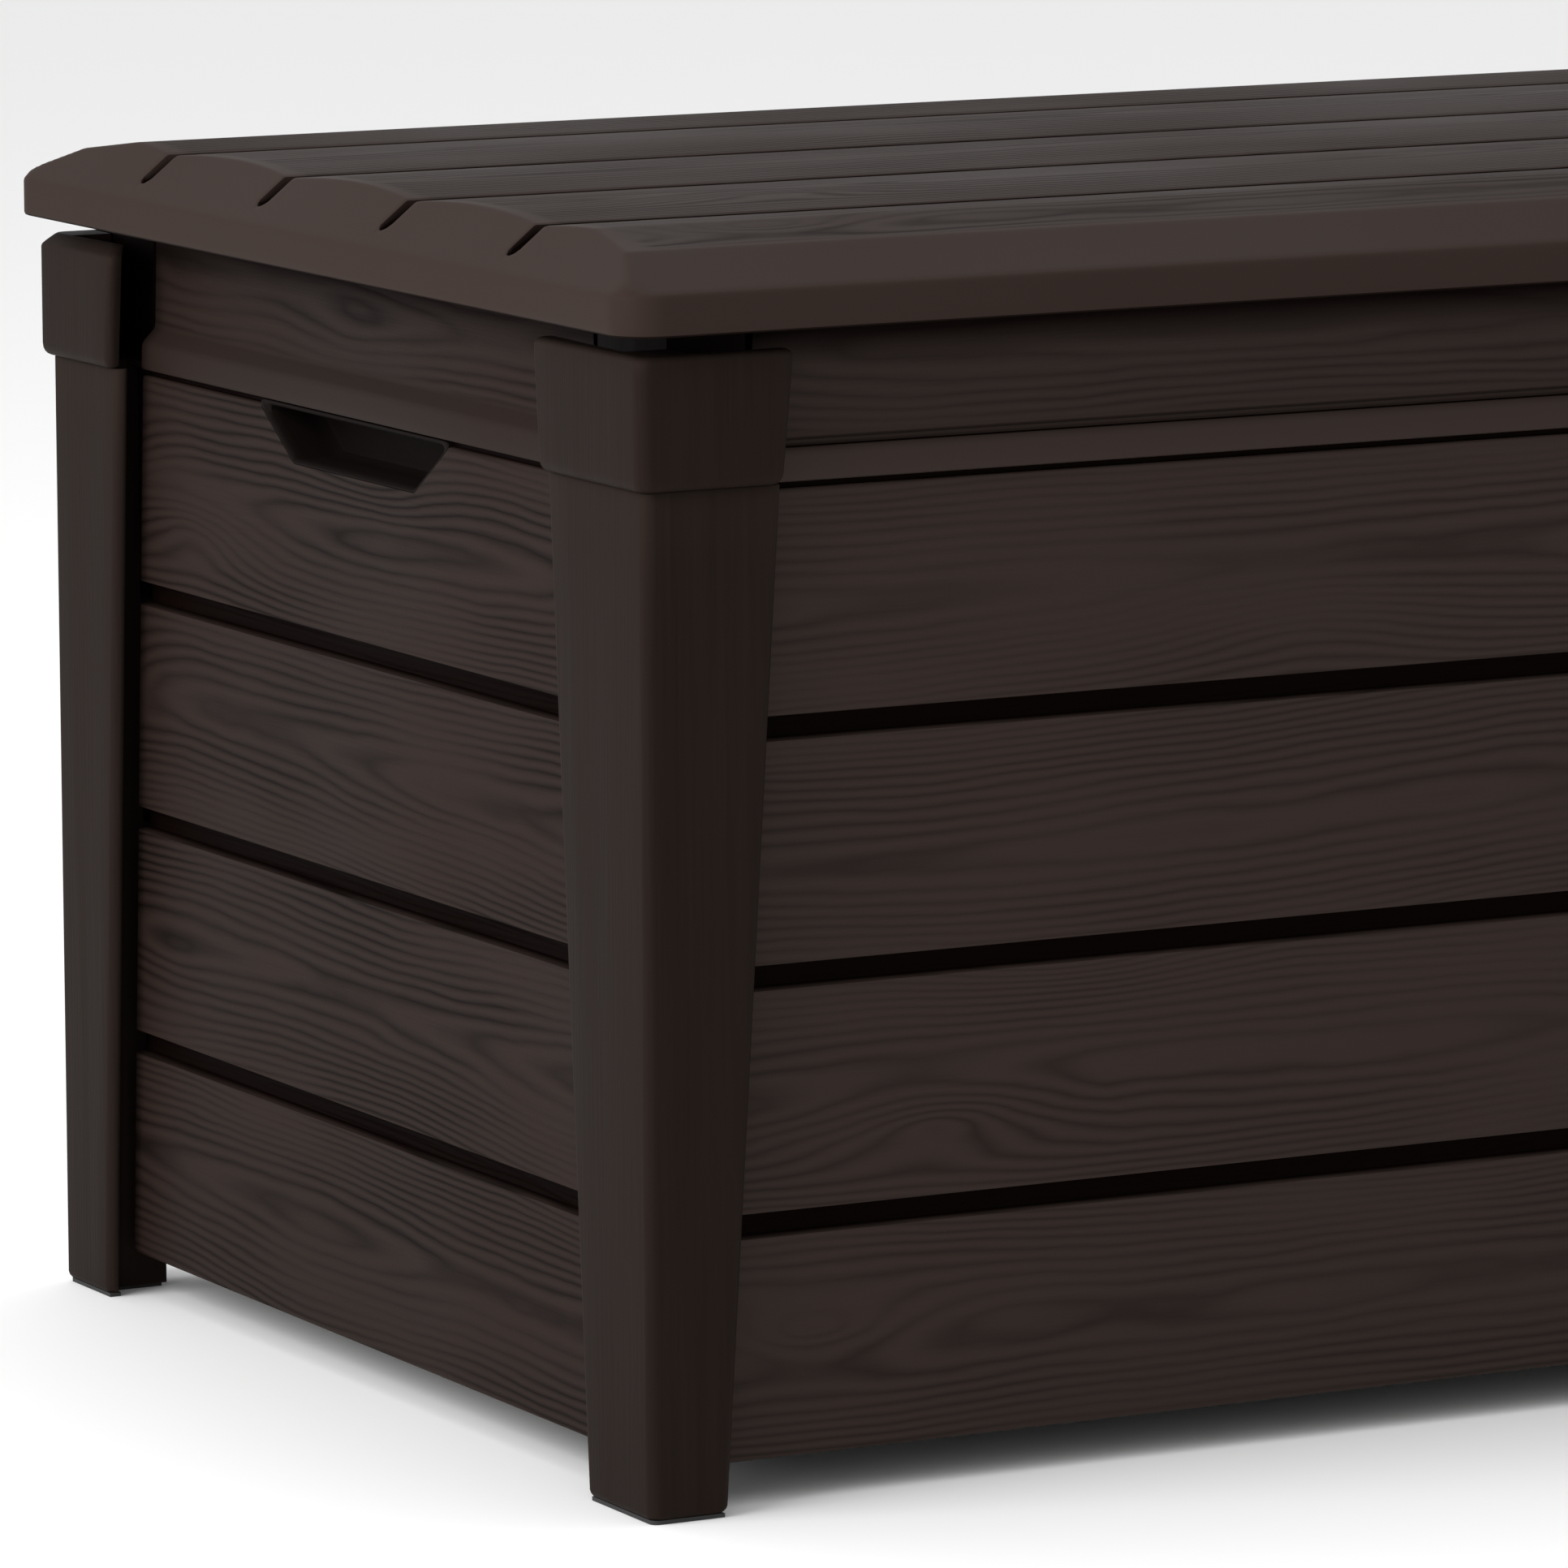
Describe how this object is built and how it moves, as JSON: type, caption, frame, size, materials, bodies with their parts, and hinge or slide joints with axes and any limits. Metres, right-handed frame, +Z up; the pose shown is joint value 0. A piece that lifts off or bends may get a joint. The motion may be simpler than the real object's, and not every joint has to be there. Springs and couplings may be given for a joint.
{
  "type": "deck storage box",
  "caption": "Outdoor storage box of wood-look resin planks with tapered corner posts, end finger pulls and a planked lid hinged at the back on gas struts.",
  "frame": {"origin": "on the ground under the middle of the lid", "axes": "+X along the length, the front faces -Y, +Z up"},
  "size_m": [1.45, 0.697, 0.603],
  "materials": {
    "outer_resin": "moulded wood grain, matt dark brown",
    "inner_resin": "fine texture, matt",
    "rubber": "matt black",
    "zinc_steel": "zinc plated",
    "screw_steel": "zinc plated",
    "black_steel": "satin black",
    "plated_steel": "polished"
  },
  "bodies": {
    "box": {"front_panel": "outer_resin", "back_panel": "outer_resin", "left_panel": "outer_resin", "right_panel": "outer_resin", "left_pull_cup": "outer_resin", "right_pull_cup": "outer_resin", "post_front_left": "outer_resin", "post_front_right": "outer_resin", "post_rear_left": "outer_resin", "post_rear_right": "outer_resin", "cap_front_left": "outer_resin", "cap_front_right": "outer_resin", "cap_rear_left": "outer_resin", "cap_rear_right": "outer_resin", "floor_left": "inner_resin", "floor_right": "inner_resin", "floor_joiner": "inner_resin", "foot_pads": "rubber", "hinge_pins": "zinc_steel", "hinge_bracket_screws": "screw_steel", "corner_screws": "screw_steel", "wall_bracket_screws": "screw_steel", "lock_screws": "screw_steel", "floor_screws": "screw_steel", "hinge_bracket_left": "black_steel", "hinge_bracket_centre": "black_steel", "hinge_bracket_right": "black_steel", "lock_staple": "black_steel", "left_wall_bracket": "black_steel", "right_wall_bracket": "black_steel"},
    "lid": {"lid_shell": "outer_resin", "lid_liner": "inner_resin", "lid_beam_front": "zinc_steel", "lid_beam_rear": "zinc_steel", "lid_bumpers": "rubber", "hinge_leaf_left": "black_steel", "hinge_leaf_centre": "black_steel", "hinge_leaf_right": "black_steel", "lock_tongue": "black_steel", "left_lid_bracket": "black_steel", "right_lid_bracket": "black_steel", "hinge_leaf_screws": "screw_steel", "liner_screws": "screw_steel", "lid_bracket_screws": "screw_steel", "tongue_screws": "screw_steel"},
    "left_strut_cylinder": {"left_strut_tube": "black_steel", "left_strut_gland": "plated_steel", "left_strut_eye": "black_steel"},
    "left_strut_plunger": {"left_strut_rod": "plated_steel", "left_strut_piston": "black_steel", "left_strut_stud": "black_steel"},
    "right_strut_cylinder": {"right_strut_tube": "black_steel", "right_strut_gland": "plated_steel", "right_strut_eye": "black_steel"},
    "right_strut_plunger": {"right_strut_rod": "plated_steel", "right_strut_piston": "black_steel", "right_strut_stud": "black_steel"}
  },
  "joints": [
    {"name": "lid_hinge", "type": "hinge", "parent": "box", "child": "lid", "pos_m": [0, 0.339, 0.557], "axis": [-1, 0, 0], "range_deg": [0, 90]},
    {"name": "left_strut_pivot", "type": "hinge", "parent": "box", "child": "left_strut_cylinder", "pos_m": [-0.65, 0.099, 0.305], "axis": [1, 0, 0], "range_deg": [-1.2, 0]},
    {"name": "left_strut_slide", "type": "slide", "parent": "left_strut_cylinder", "child": "left_strut_plunger", "axis": [0, 0.545, 0.8384], "range_m": [0, 0.12]},
    {"name": "right_strut_pivot", "type": "hinge", "parent": "box", "child": "right_strut_cylinder", "pos_m": [0.65, 0.099, 0.305], "axis": [1, 0, 0], "range_deg": [-1.2, 0]},
    {"name": "right_strut_slide", "type": "slide", "parent": "right_strut_cylinder", "child": "right_strut_plunger", "axis": [0, 0.545, 0.8384], "range_m": [0, 0.12]}
  ],
  "couplings": [
    {"joint": "left_strut_pivot", "follows": "lid_hinge", "ratio": -0.01262},
    {"joint": "left_strut_slide", "follows": "lid_hinge", "m_per_rad": 0.076273},
    {"joint": "right_strut_pivot", "follows": "lid_hinge", "ratio": -0.01262},
    {"joint": "right_strut_slide", "follows": "lid_hinge", "m_per_rad": 0.076273}
  ]
}
